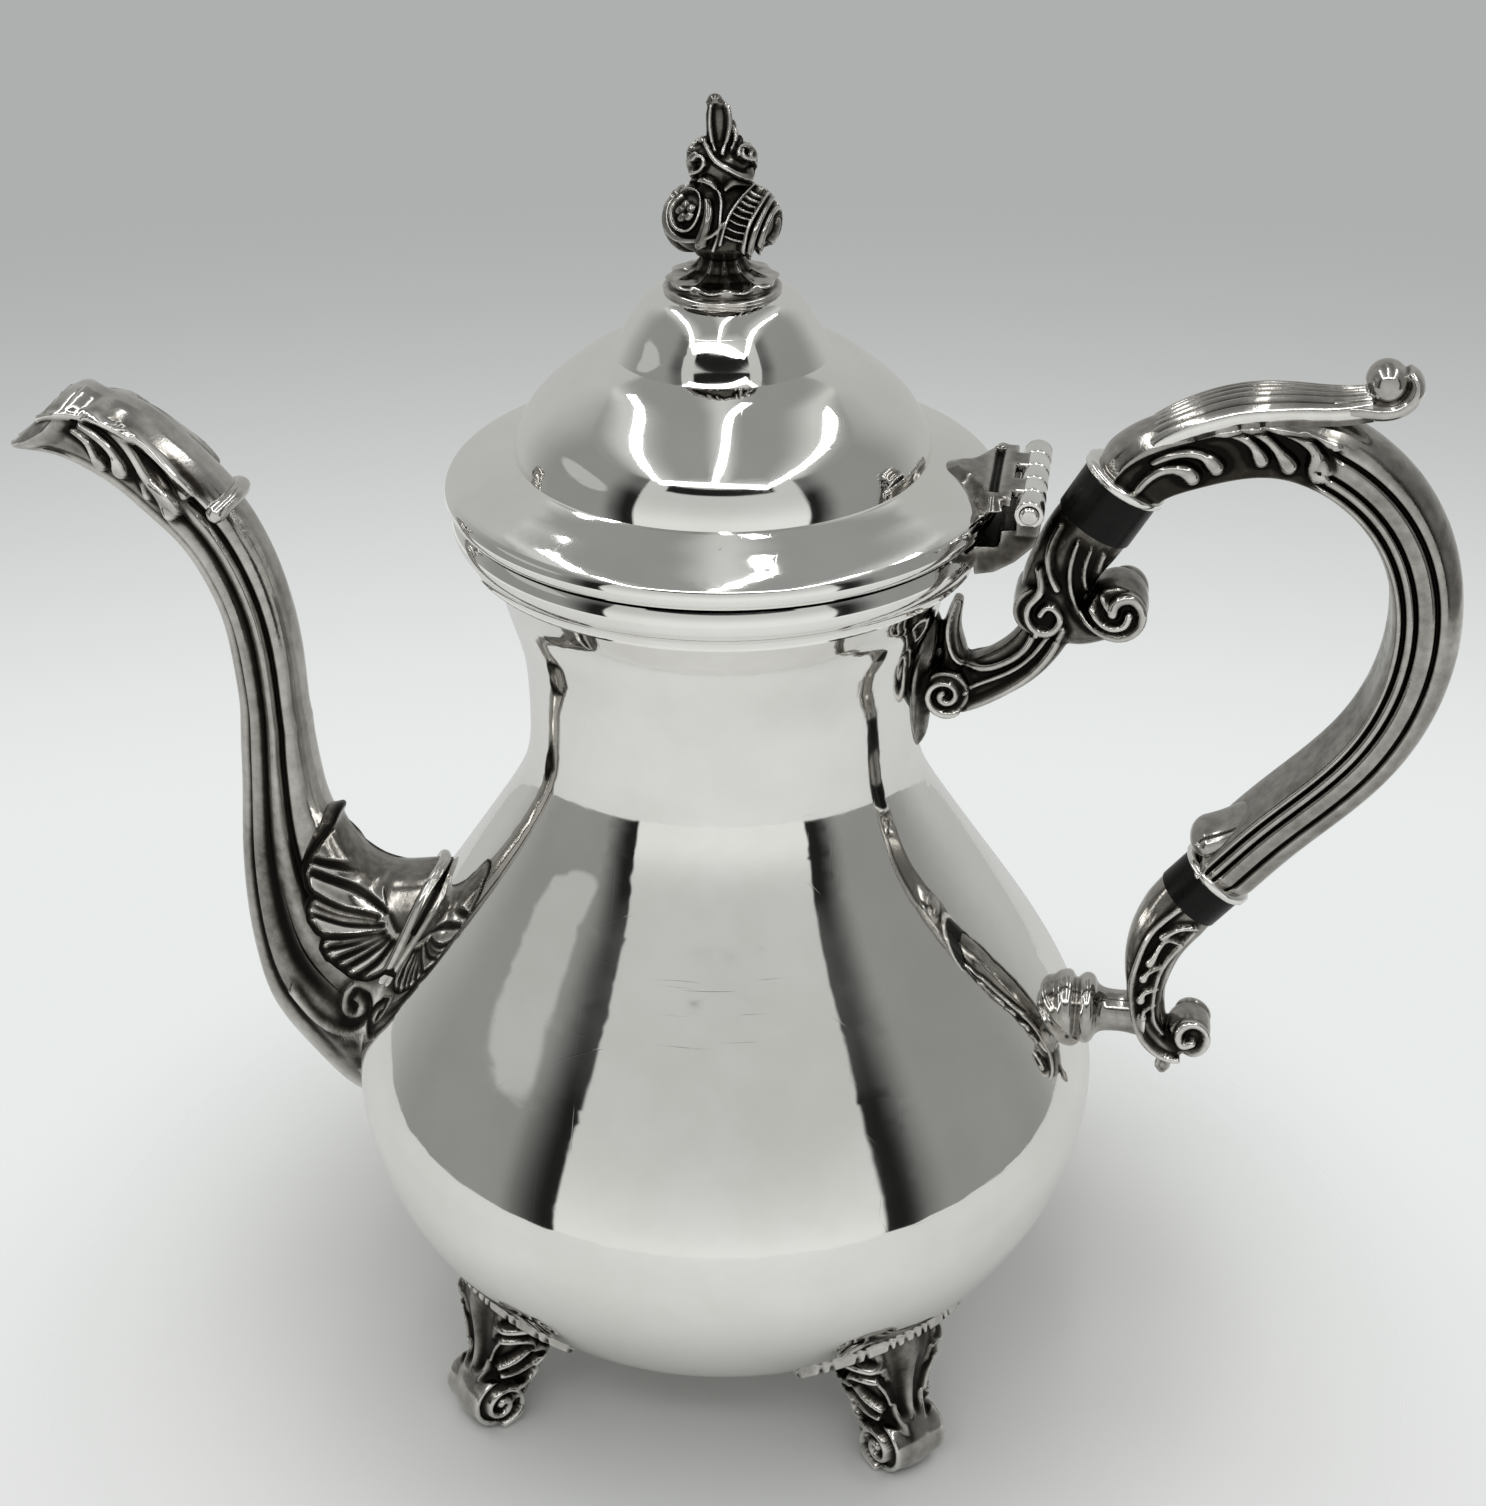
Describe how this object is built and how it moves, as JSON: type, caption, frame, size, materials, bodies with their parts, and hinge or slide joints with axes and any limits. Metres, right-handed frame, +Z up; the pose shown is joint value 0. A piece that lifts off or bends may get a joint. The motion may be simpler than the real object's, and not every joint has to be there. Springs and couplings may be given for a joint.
{
  "type": "coffee pot",
  "caption": "Footed pear-shaped silver coffee pot with an S spout, a hinged domed lid with bud finial, and a scroll handle with black heat breaks.",
  "frame": {"origin": "on the pot's axis at the table, in the middle of the length from spout tip to handle", "axes": "+X toward the handle, spout toward -X, +Z up, lid hinge along Y"},
  "size_m": [0.2582, 0.1428, 0.2527],
  "materials": {
    "polished_silver": "mirror polished silver plate with fine scratches",
    "cast_silver": "polished silver plate with dark oxide in the recesses",
    "black_insulator": "satin black",
    "brass_fixing": "plain turned"
  },
  "bodies": {
    "pot": {"body_shell": "polished_silver", "mouth_band": "polished_silver", "hinge_body_leaf": "polished_silver", "hinge_pin": "polished_silver", "lower_post": "polished_silver", "spout_front_half": "cast_silver", "spout_back_half": "cast_silver", "spout_shell_collar": "cast_silver", "upper_socket": "cast_silver", "grip_front_half": "cast_silver", "grip_back_half": "cast_silver", "thumb_leaf": "cast_silver", "lower_socket": "cast_silver", "foot_front_spout": "cast_silver", "foot_plate_front_spout": "cast_silver", "foot_front_handle": "cast_silver", "foot_plate_front_handle": "cast_silver", "foot_back_handle": "cast_silver", "foot_plate_back_handle": "cast_silver", "foot_back_spout": "cast_silver", "foot_plate_back_spout": "cast_silver", "upper_insulator": "black_insulator", "lower_insulator": "black_insulator", "upper_socket_pins": "brass_fixing", "lower_socket_pins": "brass_fixing"},
    "lid": {"lid_shell": "polished_silver", "lid_bezel": "polished_silver", "hinge_lid_leaf": "polished_silver", "finial": "cast_silver", "finial_stud": "brass_fixing", "finial_washer": "brass_fixing", "finial_nut": "brass_fixing"}
  },
  "joints": [
    {"name": "lid_hinge", "type": "hinge", "parent": "pot", "child": "lid", "pos_m": [0.054, 0, 0.1874], "axis": [0, 1, 0], "range_deg": [0, 95]}
  ]
}
